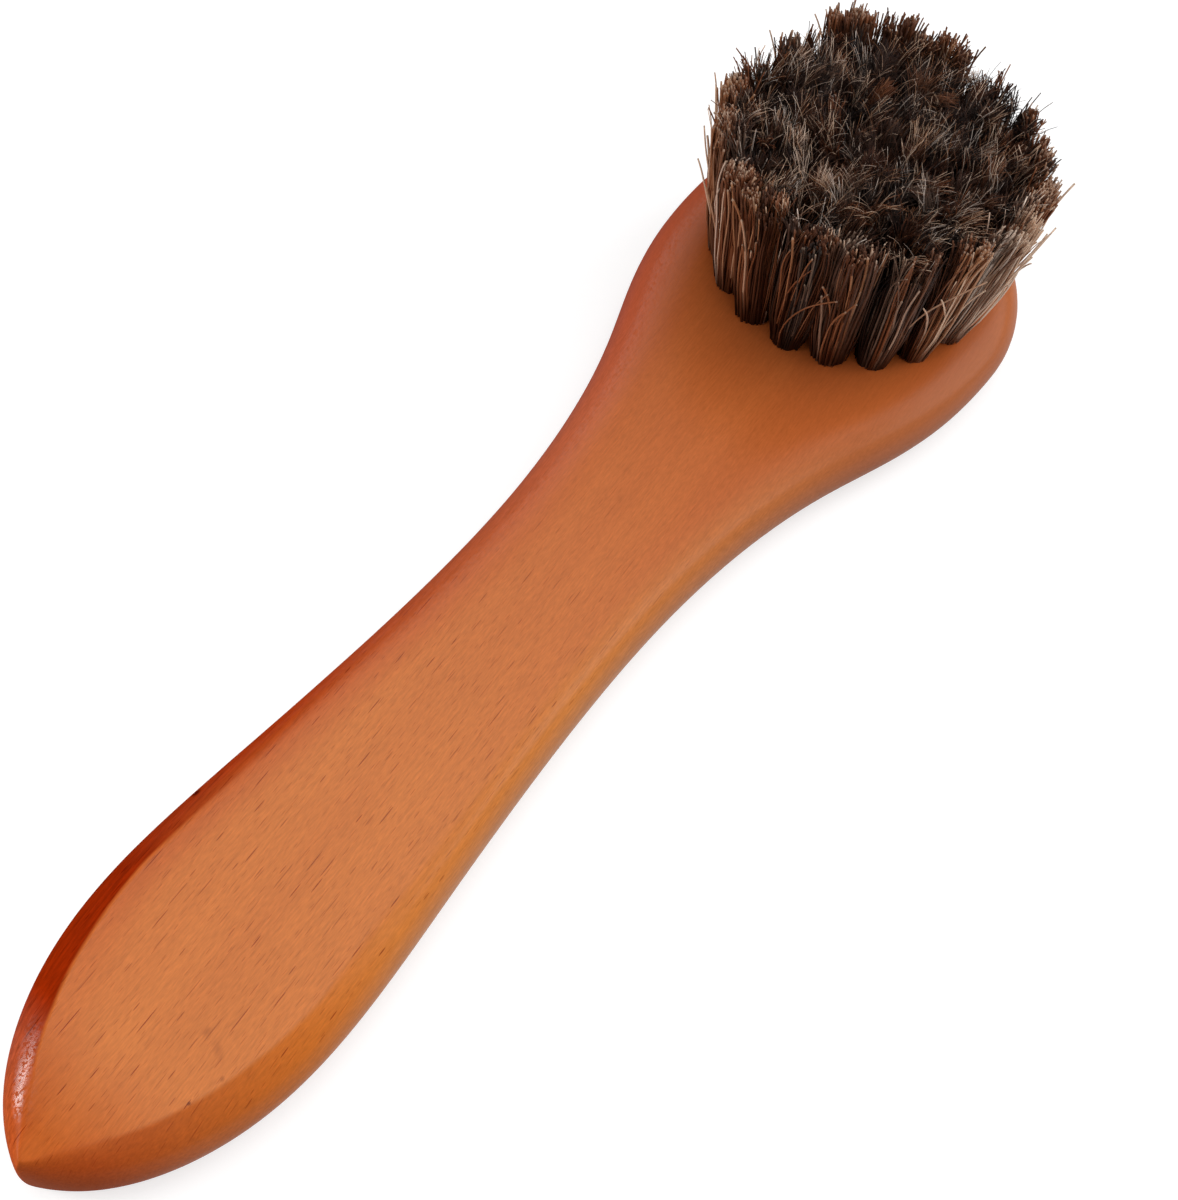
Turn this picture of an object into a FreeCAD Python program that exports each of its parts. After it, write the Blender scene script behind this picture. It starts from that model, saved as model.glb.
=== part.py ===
import FreeCAD, Part
import math
import os
import Sketcher

# A shoe shine brush lying on its back with the hair upwards, in millimetres.
# The handle's tip points along -X and its round head along +X. The origin is on the flat back,
# under the middle of the brush's length and width.

doc = FreeCAD.newDocument("shoe_shine_brush")

# Driving sizes. The handle's outline is measured from its tip: a distance along and a half width.
driving_sizes = {
    "thickness": 9.2,
    "edge_round": 3.6,
    "point_from_tip": 2.7,
    "point_half": 7.6,
    "paddle_from_tip": 18.5,
    "paddle_half": 17.3,
    "grip_from_tip": 46.8,
    "grip_half": 14.0,
    "neck_from_tip": 90.8,
    "neck_half": 10.8,
    "throat_from_tip": 122.0,
    "throat_half": 16.7,
    "shoulder_from_tip": 136.0,
    "head_from_tip": 150.6,
    "head_radius": 24.5,
    "past_middle": 8.0,
    "hair_from_tip": 150.0,
    "ring_gap": 5.47,
    "ring_turn": 4.0,
    "hole_radius": 2.0,
    "hole_depth": 6.5,
    "root_slack": 0.05,
    "tuft_base_radius": 2.25,
    "tuft_top_radius": 2.7,
    "hair_length": 23.3,
    "splay": 0.1,
    "splay_ripple": 0.06,
    "splay_lobes": 3,
    "splay_turn": 30,
    "wire_thickness": 0.4,
    "wire_length": 5.0,
    "wire_height": 1.8,
    "fold_height": 0.8,
}
tufts_in_ring = {"centre": 1, "inner": 6, "middle": 12, "outer": 18}

sheet = doc.addObject("Spreadsheet::Sheet", "sizes")
for row, (name, size) in enumerate(driving_sizes.items(), 1):
    sheet.set(f"A{row}", name)
    sheet.set(f"B{row}", str(size))
    sheet.setAlias(f"B{row}", name)
doc.recompute()

half_length = "(sizes.head_from_tip + sizes.head_radius) / 2"
hair_middle = f"(sizes.hair_from_tip - {half_length})"
hole_floor = "(sizes.thickness - sizes.hole_depth)"


def bind(item, expressions):
    for path, expression in expressions.items():
        item.setExpression(path, expression)


def place(item, along, across, up):
    bind(item, {"Placement.Base.x": along, "Placement.Base.y": across, "Placement.Base.z": up})


def add(kind, name, expressions):
    item = doc.addObject(kind, name)
    bind(item, expressions)
    return item


def origin_plane(body, role):
    return next(plane for plane in body.Origin.OriginFeatures if plane.Role == role)


def flat_sketch(body, name):
    sketch = body.newObject("Sketcher::SketchObject", name)
    sketch.AttachmentSupport = [(origin_plane(body, "XY_Plane"), "")]
    sketch.MapMode = "FlatFace"
    return sketch


# Numbers for a sketch's own origin, and for the start, end and centre of a curve in it.
origin_geometry, origin_point = -1, 1
start, end, centre = 1, 2, 3


# Holds one point of a sketch at two expressions, measured from the sketch's origin.
def hold(sketch, geometry, point, along, across):
    for kind, expression in (("DistanceX", along), ("DistanceY", across)):
        size = sheet.evalExpression(expression)
        constraint = Sketcher.Constraint(kind, origin_geometry, origin_point, geometry, point, size)
        number = sketch.addConstraint(constraint)
        sketch.setExpression(f"Constraints[{number}]", expression)


def vector(along, across):
    return FreeCAD.Vector(sheet.evalExpression(along), sheet.evalExpression(across), 0)


# One side of the handle's outline, from the tip through paddle, grip, neck and throat to the widest
# point of the head, then round the head's end. Both ends run on past the middle line, so that the
# rounded edge is whole where the two halves meet.
def draw_half_outline(sketch):
    poles = [
        ("0", "0"),
        ("sizes.point_from_tip", "sizes.point_half"),
        ("sizes.paddle_from_tip", "sizes.paddle_half"),
        ("sizes.grip_from_tip", "sizes.grip_half"),
        ("sizes.neck_from_tip", "sizes.neck_half"),
        ("sizes.throat_from_tip", "sizes.throat_half"),
        ("sizes.shoulder_from_tip", "sizes.head_radius"),
        ("sizes.head_from_tip", "sizes.head_radius"),
    ]
    degree = 3
    spans = len(poles) - degree
    side_curve = Part.BSplineCurve()
    side_curve.buildFromPolesMultsKnots(
        [vector(*pole) for pole in poles],
        [degree + 1] + [1] * (spans - 1) + [degree + 1],
        [knot / spans for knot in range(spans + 1)],
        False,
        degree,
    )
    head_centre = vector("sizes.head_from_tip", "0")
    end_angle = -math.asin(sheet.past_middle / sheet.head_radius)
    head_circle = Part.Circle(head_centre, FreeCAD.Vector(0, 0, 1), sheet.head_radius)
    head_arc = Part.ArcOfCircle(head_circle, end_angle, math.pi / 2)
    past_tip = ("-sizes.past_middle * sizes.point_from_tip / sizes.point_half", "-sizes.past_middle")
    corner = vector(*past_tip)

    side = sketch.addGeometry(side_curve, False)
    sketch.exposeInternalGeometry(side)
    arc = sketch.addGeometry(head_arc, False)
    closing = sketch.addGeometry(Part.LineSegment(head_arc.StartPoint, corner), False)
    tip_line = sketch.addGeometry(Part.LineSegment(corner, vector("0", "0")), False)

    for number, pole in enumerate(poles, 1):
        hold(sketch, side + number, centre, *pole)
    hold(sketch, arc, centre, "sizes.head_from_tip", "0")
    hold(sketch, tip_line, start, *past_tip)
    joins = [(side, end, arc, end), (arc, start, closing, start), (closing, end, tip_line, start),
             (tip_line, end, side, start)]
    for join in joins:
        sketch.addConstraint(Sketcher.Constraint("Coincident", *join))
    sketch.addConstraint(Sketcher.Constraint("Horizontal", closing))


# A rectangle that covers all that lies past the middle line.
def draw_below_middle(sketch):
    before_tip, past_head = "-sizes.head_radius", "sizes.head_from_tip + 2 * sizes.head_radius"
    below = "-2 * sizes.past_middle"
    corners = [(before_tip, "0"), (past_head, "0"), (past_head, below), (before_tip, below)]
    lines = []
    for corner, following in zip(corners, corners[1:] + corners[:1]):
        line = sketch.addGeometry(Part.LineSegment(vector(*corner), vector(*following)), False)
        hold(sketch, line, start, *corner)
        lines.append(line)
    for line, following in zip(lines, lines[1:] + lines[:1]):
        sketch.addConstraint(Sketcher.Constraint("Coincident", line, end, following, start))


# The rims of the two flat faces, without the straight edge that closes the half outline.
def rim_edges(pad):
    names = []
    for number, edge in enumerate(pad.Shape.Edges, 1):
        box = edge.BoundBox
        level = box.ZLength < pad.Length.Value / 2
        closing = box.YMax < -sheet.past_middle / 2 and box.XLength > sheet.head_from_tip / 2
        if level and not closing:
            names.append(f"Edge{number}")
    return names


# The wooden blank: a padded half outline with its rims rounded, trimmed at the middle and mirrored.
def make_blank():
    body = doc.addObject("PartDesign::Body", "handle_blank")
    outline = flat_sketch(body, "half_outline")
    draw_half_outline(outline)
    pad = body.newObject("PartDesign::Pad", "half_board")
    pad.Profile = outline
    bind(pad, {"Length": "sizes.thickness"})
    doc.recompute()

    rounding = body.newObject("PartDesign::Fillet", "rounded_rims")
    rounding.Base = (pad, rim_edges(pad))
    bind(rounding, {"Radius": "sizes.edge_round"})
    doc.recompute()
    whole_volume = rounding.Shape.Volume

    below = flat_sketch(body, "below_middle")
    draw_below_middle(below)
    trim = body.newObject("PartDesign::Pocket", "middle_trim")
    trim.Profile = below
    trim.Type = "ThroughAll"
    trim.Reversed = True
    doc.recompute()
    if trim.Shape.Volume > whole_volume - 1:
        raise RuntimeError("the middle trim cut nothing")

    halves = body.newObject("PartDesign::Mirrored", "two_halves")
    halves.TransformMode = "Whole shape"
    halves.MirrorPlane = (origin_plane(body, "XZ_Plane"), [""])
    body.Tip = halves
    doc.recompute()
    drill_holes(body)
    place(body, f"-{half_length}", "0", "0")
    return body


# One blind hole for each ring, repeated round the middle of the hair field.
def drill_holes(body):
    for ring, (ring_name, count) in enumerate(tufts_in_ring.items()):
        before = body.Tip.Shape.Volume
        sketch = flat_sketch(body, f"hole_{ring_name}")
        turned = FreeCAD.Rotation(FreeCAD.Vector(0, 0, 1), sheet.ring_turn)
        sketch.AttachmentOffset = FreeCAD.Placement(FreeCAD.Vector(), turned)
        bind(sketch, {
            "AttachmentOffset.Base.x": "sizes.hair_from_tip",
            "AttachmentOffset.Base.z": "sizes.thickness",
            "AttachmentOffset.Rotation.Angle": "sizes.ring_turn",
        })
        middle = vector(f"{ring} * sizes.ring_gap", "0")
        circle = sketch.addGeometry(Part.Circle(middle, FreeCAD.Vector(0, 0, 1), sheet.hole_radius), False)
        hold(sketch, circle, centre, f"{ring} * sizes.ring_gap", "0")
        number = sketch.addConstraint(Sketcher.Constraint("Radius", circle, sheet.hole_radius))
        sketch.setExpression(f"Constraints[{number}]", "sizes.hole_radius")
        pocket = body.newObject("PartDesign::Pocket", f"drill_{ring_name}")
        pocket.Profile = sketch
        bind(pocket, {"Length": "sizes.hole_depth"})
        doc.recompute()
        if count > 1:
            pattern = body.newObject("PartDesign::PolarPattern", f"ring_{ring_name}")
            pattern.Originals = [pocket]
            pattern.Axis = (sketch, ["N_Axis"])
            pattern.Angle = 360
            pattern.Occurrences = count
            body.Tip = pattern
            doc.recompute()
        drilled = before - body.Tip.Shape.Volume
        wanted = count * math.pi * sheet.hole_radius ** 2 * sheet.hole_depth
        if abs(drilled - wanted) > 0.01 * wanted:
            raise RuntimeError(f"the {ring_name} holes came out wrong: {drilled:.1f} of {wanted:.1f} mm3")


# Where a tuft stands: its distance from the middle of the hair field, as two expressions. At the top
# the rings have spread, unevenly: in three directions the hair leans out more than between them.
def tuft_spot(ring, count, number, at_top):
    angle = f"(sizes.ring_turn + {number} * 360 / {count})"
    ripple = f"sizes.splay_ripple * cos(sizes.splay_lobes * ({angle} - sizes.splay_turn))"
    spread = f"(1 + sizes.splay + {ripple})" if at_top else "1"
    reach = f"{ring} * sizes.ring_gap * {spread}"
    return f"{hair_middle} + {reach} * cos({angle})", f"{reach} * sin({angle})"


# A flat wire on edge across the hole, above the fold of the hair, with both ends in the wood.
def make_anchor(name, spot):
    anchor = add("Part::Box", f"wire_{name}", {
        "Length": "sizes.wire_thickness",
        "Width": "sizes.wire_length",
        "Height": "sizes.wire_height",
    })
    place(anchor, f"{spot[0]} - sizes.wire_thickness / 2", f"{spot[1]} - sizes.wire_length / 2",
          f"{hole_floor} + sizes.fold_height")
    return anchor


# A bundle of hair: a round root in the hole, then a leaning shaft that widens up to the trimmed top.
def make_tuft(name, foot, top, anchor):
    root = add("Part::Cylinder", f"root_{name}", {
        "Radius": "sizes.hole_radius - sizes.root_slack",
        "Height": "sizes.hole_depth",
    })
    place(root, *foot, hole_floor)
    base_ring = add("Part::Circle", f"base_{name}", {"Radius": "sizes.tuft_base_radius"})
    place(base_ring, *foot, "sizes.thickness")
    top_ring = add("Part::Circle", f"top_{name}", {"Radius": "sizes.tuft_top_radius"})
    place(top_ring, *top, "sizes.thickness + sizes.hair_length")
    shaft = add("Part::Loft", f"shaft_{name}", {})
    shaft.Sections = [base_ring, top_ring]
    shaft.Solid = True
    shaft.Ruled = True
    bundle = add("Part::Fuse", f"bundle_{name}", {})
    bundle.Base = root
    bundle.Tool = shaft
    tuft = add("Part::Cut", f"tuft_{name}", {})
    tuft.Base = bundle
    tuft.Tool = anchor
    return tuft


blank = make_blank()

tufts = []
wires = []
for ring, (ring_name, count) in enumerate(tufts_in_ring.items()):
    for number in range(count):
        name = f"{ring_name}_{number + 1}" if count > 1 else ring_name
        foot = tuft_spot(ring, count, number, at_top=False)
        top = tuft_spot(ring, count, number, at_top=True)
        wire = make_anchor(name, foot)
        wires.append(wire)
        tufts.append(make_tuft(name, foot, top, wire))

anchors = doc.addObject("Part::Compound", "anchors")
anchors.Links = wires

# The finished handle: the drilled blank with the slits that the anchors' ends press into it.
handle = doc.addObject("Part::Cut", "handle")
handle.Base = blank
handle.Tool = anchors

doc.recompute()

failed = [item.Name for item in doc.Objects if "Invalid" in item.State or "Error" in item.State]
if failed:
    raise RuntimeError(f"failed objects: {failed}")

nodes = {handle: 1, anchors: len(wires)}
nodes.update({tuft: 1 for tuft in tufts})
for node, solids in nodes.items():
    shape = node.Shape
    if shape.isNull() or not shape.isValid() or len(shape.Solids) != solids:
        raise RuntimeError(f"{node.Label} is not {solids} sound solid")

os.makedirs("parts", exist_ok=True)
for node in nodes:
    node.Shape.exportStep(f"parts/{node.Label}.step")
print(f"{len(nodes)} nodes, handle {handle.Shape.Volume:.0f} mm3, box {handle.Shape.BoundBox}")
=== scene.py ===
import bmesh
import bpy
import numpy as np
from mathutils import Matrix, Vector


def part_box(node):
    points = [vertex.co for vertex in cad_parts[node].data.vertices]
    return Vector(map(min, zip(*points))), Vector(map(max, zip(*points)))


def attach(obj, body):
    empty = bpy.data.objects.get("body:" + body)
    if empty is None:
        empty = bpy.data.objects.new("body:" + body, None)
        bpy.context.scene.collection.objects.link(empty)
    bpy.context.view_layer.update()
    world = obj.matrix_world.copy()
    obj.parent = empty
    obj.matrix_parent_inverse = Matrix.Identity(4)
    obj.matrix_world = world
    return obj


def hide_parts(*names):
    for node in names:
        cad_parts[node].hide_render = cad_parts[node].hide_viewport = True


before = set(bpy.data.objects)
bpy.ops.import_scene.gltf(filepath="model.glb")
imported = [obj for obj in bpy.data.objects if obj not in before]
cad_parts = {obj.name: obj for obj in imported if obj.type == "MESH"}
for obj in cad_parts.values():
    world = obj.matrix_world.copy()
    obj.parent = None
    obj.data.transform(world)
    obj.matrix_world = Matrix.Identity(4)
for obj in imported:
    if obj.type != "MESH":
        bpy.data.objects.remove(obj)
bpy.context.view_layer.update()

mm = 0.001
white = (1.0, 1.0, 1.0)
woodLow, woodHigh = (np.array(corner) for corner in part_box("handle"))
woodTop = woodHigh[2]
woodLong = float(woodHigh[0] - woodLow[0])
tuftNames = sorted(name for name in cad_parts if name.startswith("tuft_"))
print("frame loaded with", len(tuftNames), "tufts on a handle", round(woodLong, 4), "m long")


# one node with its settings and its sockets, where a socket's value is a number or another node's output
def addNode(tree, kind, sockets=None, **settings):
    node = tree.nodes.new("ShaderNode" + kind)
    for name, value in settings.items():
        setattr(node, name, value)
    for name, value in (sockets or {}).items():
        if isinstance(value, bpy.types.NodeSocket):
            tree.links.new(value, node.inputs[name])
        else:
            node.inputs[name].default_value = value
    return node


def mathNode(tree, operation, first, second=0.5, third=0.5):
    return addNode(tree, "Math", {0: first, 1: second, 2: third}, operation=operation).outputs[0]


def times(tree, first, second):
    return mathNode(tree, "MULTIPLY", first, second)


# the first times the second, with the third added
def timesPlus(tree, first, second, third):
    return mathNode(tree, "MULTIPLY_ADD", first, second, third)


def vectorNode(tree, operation, first, second=(0.0, 0.0, 0.0)):
    return addNode(tree, "VectorMath", {0: first, 1: second}, operation=operation).outputs


# colours are sockets or (red, green, blue)
def mixColours(tree, factor, first, second, blend="MIX"):
    first, second = (c if isinstance(c, bpy.types.NodeSocket) else (*c, 1.0) for c in (first, second))
    sockets = {"Factor": factor, 6: first, 7: second}
    return addNode(tree, "Mix", sockets, data_type="RGBA", blend_type=blend).outputs[2]


def multiplied(tree, colour, tint):
    return mixColours(tree, 1.0, colour, tint, "MULTIPLY")


# a colour made darker or lighter by a plain value
def shaded(tree, colour, light):
    grey = addNode(tree, "CombineColor", {"Red": light, "Green": light, "Blue": light}).outputs[0]
    return multiplied(tree, colour, grey)


# spreads a value between two limits over 0 to 1
def ramp(tree, value, low, high, smooth=True):
    sockets = {"Value": value, "From Min": low, "From Max": high}
    shape = "SMOOTHSTEP" if smooth else "LINEAR"
    return addNode(tree, "MapRange", sockets, interpolation_type=shape).outputs["Result"]


def colourStops(tree, value, stops):
    node = addNode(tree, "ValToRGB", {"Fac": value})
    elements = node.color_ramp.elements
    while len(elements) < len(stops):
        elements.new(0.5)
    for element, (place, colour) in zip(elements, stops):
        element.position = place
        element.color = (*colour, 1.0)
    return node.outputs["Color"]


def newMaterial(name):
    material = bpy.data.materials.new(name)
    material.use_nodes = True
    tree = material.node_tree
    tree.nodes.clear()
    return material, tree


def finishMaterial(tree, shader):
    addNode(tree, "OutputMaterial", {"Surface": shader})


def newPiece(name, mesh, material, replaced):
    piece = bpy.data.objects.new(name, mesh)
    bpy.context.collection.objects.link(piece)
    mesh.materials.append(material)
    mesh.polygons.foreach_set("use_smooth", np.ones(len(mesh.polygons), bool))
    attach(piece, "root")
    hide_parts(replaced)


# the wooden handle
handleShape = {
    # side curve from the tip, mm along and mm half width, the same poles as the drawn wood
    "poles": [(0, 0), (2.7, 7.6), (18.5, 17.3), (46.8, 14),
              (90.8, 10.8), (122, 16.7), (136, 24.5), (150.6, 24.5)],
    "headRadius": 24.5,
    "sideRows": 280, "headRows": 80,        # stations along the outline
    "sideEase": 1.3,                        # above 1 they lie closer at the tip
    "roundColumns": 18, "flatColumns": 12,  # from the rim to the crease, from there to the middle line
    "flatEase": 1.8,                        # above 1 they lie closer at the crease
    # mm from the tip, then mm of rounding
    "roundWidth": [(0, 0.8), (1.5, 2.5), (3, 3.2), (5, 3.7), (12, 4.1), (20, 4.0), (30, 3.6),
                   (45, 4.6), (60, 6.0), (90, 7.5), (120, 8.5), (176, 8.5)],
    # mm from the tip, then mm of stained edge
    "stainWidth": [(0, 0.8), (1.5, 2.5), (3, 3.2), (5, 3.7), (12, 4.1), (20, 4.0), (30, 3.4),
                   (60, 3.5), (110, 4.4), (176, 4.8)],
    # how far the rounding turns before it meets the face: 1 runs smoothly in, less leaves a crease
    "roundTurn": [(0, 1.0), (4, 0.80), (8, 0.45), (13, 0.32), (20, 0.30), (30, 0.45), (45, 0.80),
                  (60, 1.0), (176, 1.0)],
    # 2 is an ellipse, more flows longer into the face
    "roundPower": [(0, 2.0), (25, 2.0), (60, 3.0), (176, 3.0)],
    "mostRound": 0.8,                       # share of the way to the middle line that it may take
    "tipSoft": 0.15, "tipReach": 4.0,       # mm
    "weld": 0.002, "sliver": 0.001,         # mm, corners that merge and edges that go
}


# cubic curve on even knots: each basis of one degree is a weighted pair of the degree below
def splinePoints(poles, t, degree=3):
    poles = np.array(poles, float)
    spans = len(poles) - degree
    knots = np.concatenate([np.zeros(degree), np.linspace(0, 1, spans + 1), np.ones(degree)])[:, None]
    t = np.minimum(t, 1 - 1e-9)[None, :]
    basis = ((knots[:-1] <= t) & (t < knots[1:])).astype(float)
    for p in range(1, degree + 1):
        rise = knots[p:] - knots[:-p]
        rise = np.where(rise > 0, rise, np.inf)
        up = (t - knots[:-p - 1]) / rise[:-1] * basis[:-1]
        down = (knots[p + 1:] - t) / rise[1:] * basis[1:]
        basis = up + down
    return basis.T @ poles


# half of the outline, the side curve and then a quarter circle to the head's end, with the direction inward
# and the way in to the middle line
def halfOutline(shape):
    t = np.linspace(0, 1, shape["sideRows"]) ** shape["sideEase"]
    side = splinePoints(shape["poles"], t)
    along = np.gradient(side, t, axis=0, edge_order=2)
    turn = np.linspace(np.pi / 2, 0, shape["headRows"])[1:, None]
    out = np.hstack([np.cos(turn), np.sin(turn)])
    head = np.array([shape["poles"][-1][0], 0]) + shape["headRadius"] * out
    inward = np.vstack([np.stack([along[:, 1], -along[:, 0]], 1), -out])
    inward /= np.linalg.norm(inward, axis=1, keepdims=True)
    points = np.vstack([side, head])
    reach = np.full(len(points), shape["headRadius"], float)
    reach[:len(side)] = side[:, 1] / -inward[:len(side), 1]
    return points, inward, reach


# height over the mid plane: root of 1 less a power of the way left to the rounding's end, level past it
def edgeHeight(depth, width, turn, power):
    share = np.clip(depth / width, 0, 1)
    top = np.sqrt(1 - (1 - turn) ** power)
    return np.sqrt(np.clip(1 - (1 - turn * share) ** power, 0, 1)) / top


# rows follow the outline and columns run in from it: even turns over the rounding, then on to the middle
# line, each point at its depth along the direction inward and at the edge's height
def handleMesh(shape):
    points, inward, reach = halfOutline(shape)

    def byStation(key):
        return np.interp(points[:, 0], *zip(*shape[key]))[:, None]

    width, stain = byStation("roundWidth"), byStation("stainWidth")
    turn, power = byStation("roundTurn"), byStation("roundPower")
    reach = reach[:, None]
    bend = np.linspace(0, 1, shape["roundColumns"])[None, :] * np.arccos(1 - turn)
    rounded = np.minimum(width, shape["mostRound"] * reach) * (1 - np.cos(bend)) / turn
    inner = np.linspace(0, 1, shape["flatColumns"] + 1)[None, 1:] ** shape["flatEase"]
    flat = rounded[:, -1:] + (reach - rounded[:, -1:]) * inner
    depth = np.hstack([rounded, flat])
    half = woodTop / mm / 2
    x = points[:, :1] + inward[:, :1] * depth
    y = np.maximum(points[:, 1:] + inward[:, 1:] * depth, 0)
    z = half * edgeHeight(depth, width, turn, power)

    # the two sides meet at the tip in a small hyperbola
    slope = shape["poles"][1][1] / shape["poles"][1][0]
    lean = y / slope
    x = x + (np.hypot(lean, shape["tipSoft"]) - lean) * np.exp(-x / shape["tipReach"])

    # four mirrored quarters make the whole, welded where they meet
    rows, columns = depth.shape
    corner = np.arange(rows * columns).reshape(rows, columns)
    quads = np.stack([corner[:-1, :-1], corner[1:, :-1], corner[1:, 1:], corner[:-1, 1:]], -1)
    quads = quads.reshape(-1, 4)
    quarters = [(1, 1), (-1, 1), (-1, -1), (1, -1)]     # side and face
    places, faces = [], []
    for number, (sideSign, faceSign) in enumerate(quarters):
        quarter = np.stack([x + woodLow[0] / mm, sideSign * y, half + faceSign * z], -1).reshape(-1, 3)
        places.append(quarter * mm)
        order = quads if sideSign * faceSign < 0 else quads[:, ::-1]
        faces.append(order + number * rows * columns)
    mesh = bpy.data.meshes.new("handleWood")
    mesh.from_pydata(np.vstack(places), [], np.vstack(faces).tolist())

    # 0 at the rim and 1 where the stained edge ends, and how crisp that end is
    marks = {"edgeShare": depth / stain, "crispness": np.broadcast_to(1 - turn, depth.shape)}
    for name, values in marks.items():
        layer = mesh.attributes.new(name, "FLOAT", "POINT")
        layer.data.foreach_set("value", np.tile(values.ravel(), len(quarters)).astype(np.float32))
    weld = bmesh.new()
    weld.from_mesh(mesh)
    bmesh.ops.remove_doubles(weld, verts=weld.verts, dist=shape["weld"] * mm)
    bmesh.ops.dissolve_degenerate(weld, edges=weld.edges, dist=shape["sliver"] * mm)
    bmesh.ops.recalc_face_normals(weld, faces=weld.faces)
    weld.to_mesh(mesh)
    weld.free()
    return mesh


woodLook = {
    "face": (0.555, 0.164, 0.034), "faceDeep": (0.490, 0.134, 0.028),
    # noises along the grain: mm along, mm across, detail, distortion
    "bands": (120.0, 9.0, 2.0, 0.4), "blotch": (45.0, 30.0, 3.0, 0.0),
    "fibres": (3.4, 0.26, 3.0, 0.0), "fine": (1.0, 0.18, 2.0, 0.0), "broad": (7.0, 0.45, 2.0, 0.0),
    "bandLimits": (0.3, 0.7), "blotchLimits": (0.25, 0.75),     # of their noises, from face to faceDeep
    "fibreDepth": 0.36, "fineDepth": 0.46,  # how much they darken and lighten
    "headCalm": 0.55, "calmFrom": (15, 60),     # share that they fade on the head, mm along where
    "edgeStreaks": 0.9, "streaksFrom": (-20, -50),  # broad ones of the left edge, mm along where they come in
    "grainTurn": 3.5,                       # degrees that the grain runs off the handle's line
    # stain by mm from the tip: over the face, and of the rounded edges
    "faceStain": [(4, (0.86, 0.66, 0.50)), (15, (1, 1, 1)), (55, (1, 1, 1)), (95, (0.95, 0.87, 0.93)),
                  (125, (0.93, 0.78, 0.85))],
    "rightStain": [(5, (0.40, 0.066, 0.011)), (14, (0.475, 0.102, 0.012)), (26, (0.56, 0.142, 0.015)),
                   (40, (0.59, 0.182, 0.032)), (75, (0.56, 0.182, 0.037)), (125, (0.43, 0.118, 0.032))],
    "leftStain": [(3, (0.36, 0.062, 0.013)), (9, (0.29, 0.050, 0.018)), (14, (0.21, 0.014, 0.0008)),
                  (28, (0.21, 0.014, 0.0010)), (36, (0.25, 0.024, 0.004)), (52, (0.35, 0.036, 0.005)),
                  (80, (0.43, 0.085, 0.030)), (105, (0.50, 0.115, 0.050)), (125, (0.50, 0.100, 0.042))],
    "sideBlend": 2,                         # mm to each side of the middle line where left and right mix
    # shares of the stained edge: where it begins, smooth and creased, from which crispness
    "softEnd": (1.35, 0.3), "crispEnd": (1.03, 0.88), "crispLimits": (0.05, 0.6),
    "leftSoft": (0.88, 0.70, 0.62),         # what the left stain leaves of the face beside it
    "leftReach": (2.3, 1.0),                # the same shares, where that is seen
    "leftSpread": [(10, 0.35), (30, 1.0), (70, 1.0), (110, 0.45)],  # mm from the tip, how much of it
    "rimPaintedShadeAndReflection": (0.88, 0.98, 1.40), "rimReach": (0.0, 0.4),     # painted shade and painted reflection: colour at the very rim against the stain's
    # flecks: mm apart along and across, mm of half length from and to, mm of half width, share of places,
    # strength
    "longFlecks": (6.0, 1.5, 0.6, 2.1, 0.066, 0.80, 1.0),
    "shortFlecks": (2.4, 0.55, 0.4, 1.2, 0.050, 0.75, 0.50),
    "fleckTint": (0.46, 0.23, 0.09),        # of the wood around them
    "fleckOnset": 0.04, "faintest": 0.35,   # of their chance and of their strength
    "fleckEdge": (1.0, 0.4),                # from the ellipse's outline to its full tint
    "fleckRim": (0.1, 0.5),                 # shares of the stained edge over which they come in
    "fleckFrom": (25, -25), "headFlecks": 0.15,     # mm along where they come in, share left on the head
    # small marks: mm along, across and up, mm of half length and half width, degrees, strength
    "marks": [(-72.8, -8.7, 9.2, 0.24, 0.20, 0, 0.75), (-48.0, 14.05, 7.3, 0.65, 0.8, -6, 1.0),
              (-66.6, -5.2, 9.2, 0.6, 0.5, 0, 0.3), (-67.3, -7.4, 9.2, 1.3, 0.5, 62, 0.22),
              (-69.1, -9.6, 9.2, 0.35, 0.25, 30, 0.35)],
    "markDeep": 0.7, "markEdge": (1.3, 0.2),    # mm of half depth, from the outline to the full tint
    "markTint": (0.22, 0.10, 0.04),
    "roughness": 0.5, "roughSpread": 0.2, "specular": 0.0, "ior": 1.45, "coatRoughness": 0.26,
    # share of lacquer by mm from the tip, on the face and the right, then on the left edge
    "coat": [(4, 0.08), (12, 0.40), (50, 0.46), (90, 0.42), (125, 0.32)],
    "leftCoat": [(3.5, 0.0), (5.5, 1.0), (10, 1.0), (12.5, 0.0), (45, 0.03), (75, 0.4), (125, 0.5)],
    # noise that breaks up the left lacquer, and shares of the stained edge over which that comes in
    "speckScale": 2.6, "speckDetail": 2.0, "speckLimits": (0.38, 0.54), "speckInner": (0.35, 0.65),
    "pitRelief": 0.4, "fibreRelief": 0.5,   # against the flecks' depth
    "relief": 0.2, "reliefDeep": 0.05,      # strength, mm
}


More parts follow.
